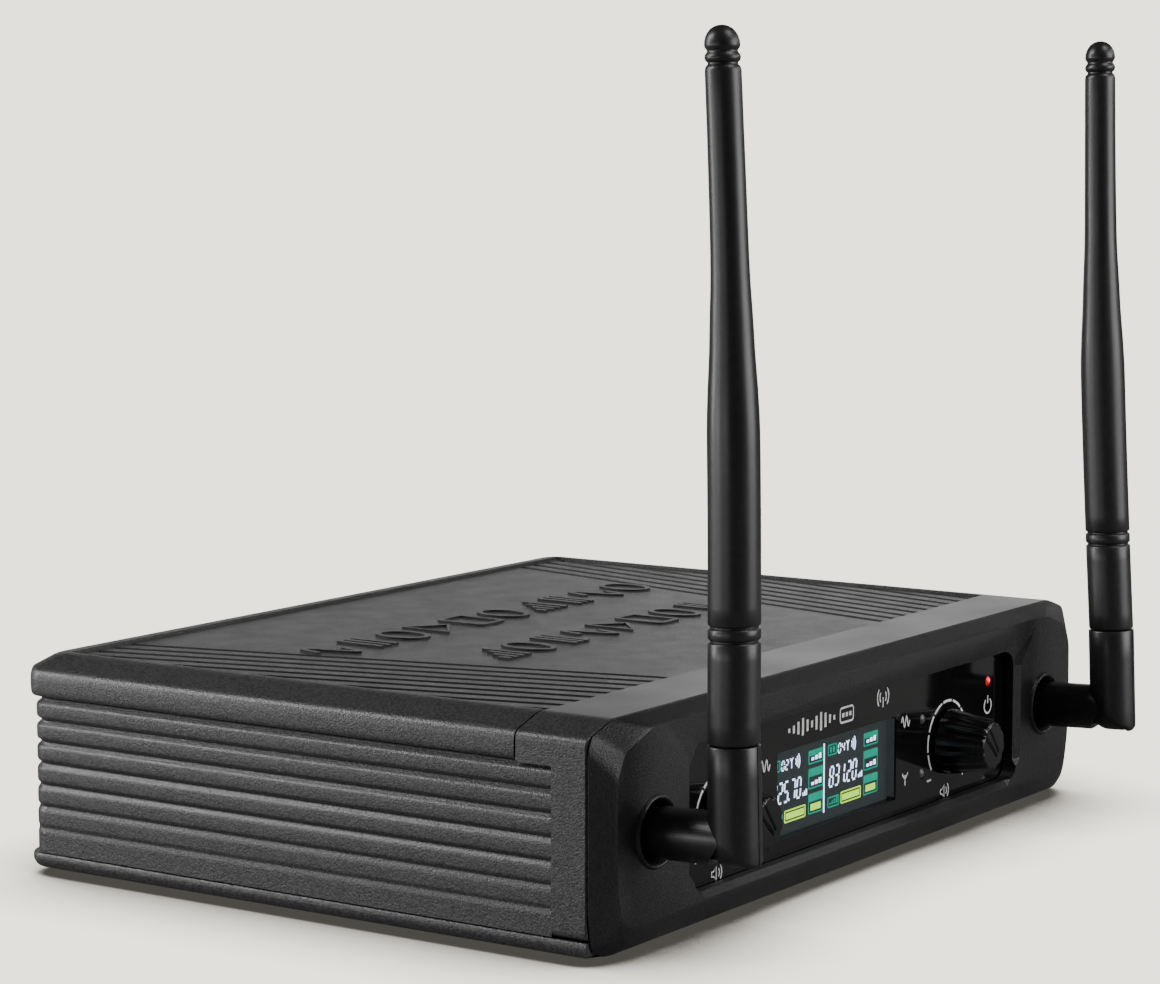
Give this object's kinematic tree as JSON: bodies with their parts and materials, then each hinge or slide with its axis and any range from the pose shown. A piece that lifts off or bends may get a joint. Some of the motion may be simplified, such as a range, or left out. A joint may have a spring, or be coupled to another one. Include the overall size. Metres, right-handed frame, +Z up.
{
  "type": "wireless receiver",
  "caption": "Half-rack wireless receiver with ribbed case, bevelled front frame, gloss panel with screen and volume knobs, and folding swivel antennas at the front.",
  "frame": {"origin": "under the middle of the whole object's box, on the surface the feet stand on", "axes": "+Z up, the front panel faces -Y, +X to the right seen from the front"},
  "size_m": [0.2012, 0.1688, 0.1742],
  "materials": {
    "case_plastic": "fine textured moulding, charcoal",
    "bezel_plastic": "smooth satin black",
    "window_gloss": "back-printed gloss acrylic",
    "lens_clear": "clear gloss acrylic",
    "black_plastic": "smooth black",
    "foot_rubber": "soft matt",
    "steel": "zinc plated",
    "circuit_board": "green solder resist",
    "red_light": "lit red diode lens",
    "grey_light": "unlit diffused diode lens",
    "tinned_steel": "tin plated",
    "cable_jacket": "smooth",
    "knob_plastic": "semi-gloss black",
    "antenna_plastic": "satin black elastomer",
    "brass": "drawn rod"
  },
  "bodies": {
    "receiver": {"case_shell": "case_plastic", "top_cover": "case_plastic", "bottom_cover": "case_plastic", "socket_plate": "black_plastic", "foot_1": "foot_rubber", "foot_2": "foot_rubber", "foot_3": "foot_rubber", "foot_4": "foot_rubber", "case_screw_1": "steel", "case_screw_2": "steel", "case_screw_3": "steel", "case_screw_4": "steel", "front_bezel": "bezel_plastic", "front_window": "window_gloss", "display_lens": "lens_clear", "display_module": "black_plastic", "control_board": "circuit_board", "power_led": "red_light", "signal_led_1": "grey_light", "signal_led_2": "grey_light", "signal_led_3": "grey_light", "signal_led_4": "grey_light", "volume_pot_a": "steel", "volume_pot_b": "steel", "antenna_bush_left": "bezel_plastic", "antenna_bush_right": "bezel_plastic", "main_board": "circuit_board", "board_ribbon": "cable_jacket", "receiver_shield_a": "tinned_steel", "receiver_shield_b": "tinned_steel", "antenna_coax_left": "cable_jacket", "antenna_coax_right": "cable_jacket", "rear_panel": "black_plastic", "xlr_output_a": "black_plastic", "xlr_output_b": "black_plastic", "xlr_contacts_a": "tinned_steel", "xlr_contacts_b": "tinned_steel", "jack_output": "black_plastic", "jack_nut": "steel", "dc_inlet": "black_plastic", "power_switch_housing": "black_plastic"},
    "antenna_left_stub": {"antenna_left_barrel": "antenna_plastic", "antenna_left_retainer": "steel", "antenna_left_fold_pin": "steel"},
    "antenna_left_mast": {"antenna_left_knuckle": "antenna_plastic", "antenna_left_sleeve": "antenna_plastic", "antenna_left_whip": "brass", "antenna_left_tip": "antenna_plastic"},
    "antenna_right_stub": {"antenna_right_barrel": "antenna_plastic", "antenna_right_retainer": "steel", "antenna_right_fold_pin": "steel"},
    "antenna_right_mast": {"antenna_right_knuckle": "antenna_plastic", "antenna_right_sleeve": "antenna_plastic", "antenna_right_whip": "brass", "antenna_right_tip": "antenna_plastic"},
    "volume_a": {"volume_knob_a": "knob_plastic", "volume_spindle_a": "steel"},
    "volume_b": {"volume_knob_b": "knob_plastic", "volume_spindle_b": "steel"},
    "power_rocker": {"power_rocker": "black_plastic"}
  },
  "joints": [
    {"name": "antenna_left_swivel", "type": "hinge", "parent": "receiver", "child": "antenna_left_stub", "pos_m": [-0.0826, -0.06177, 0.0234], "axis": [0, -0.9997, 0.0262], "range_deg": [-90, 90]},
    {"name": "antenna_left_fold", "type": "hinge", "parent": "antenna_left_stub", "child": "antenna_left_mast", "pos_m": [-0.0826, -0.07916, 0.02386], "axis": [1, 0, 0], "range_deg": [0, 90]},
    {"name": "antenna_right_swivel", "type": "hinge", "parent": "receiver", "child": "antenna_right_stub", "pos_m": [0.0826, -0.06177, 0.0234], "axis": [0, -0.9992, 0.0401], "range_deg": [-90, 90]},
    {"name": "antenna_right_fold", "type": "hinge", "parent": "antenna_right_stub", "child": "antenna_right_mast", "pos_m": [0.0826, -0.07915, 0.0241], "axis": [1, 0, 0], "range_deg": [0, 90]},
    {"name": "volume_a_turn", "type": "hinge", "parent": "receiver", "child": "volume_a", "pos_m": [-0.0541, -0.06177, 0.0207], "axis": [0, 1, 0], "range_deg": [-107, 193]},
    {"name": "volume_b_turn", "type": "hinge", "parent": "receiver", "child": "volume_b", "pos_m": [0.0419, -0.06177, 0.0207], "axis": [0, 1, 0], "range_deg": [-107, 193]},
    {"name": "power_rocker_tip", "type": "hinge", "parent": "receiver", "child": "power_rocker", "pos_m": [-0.06, 0.07923, 0.023], "axis": [0, 0, 1], "range_deg": [0, 18]}
  ]
}
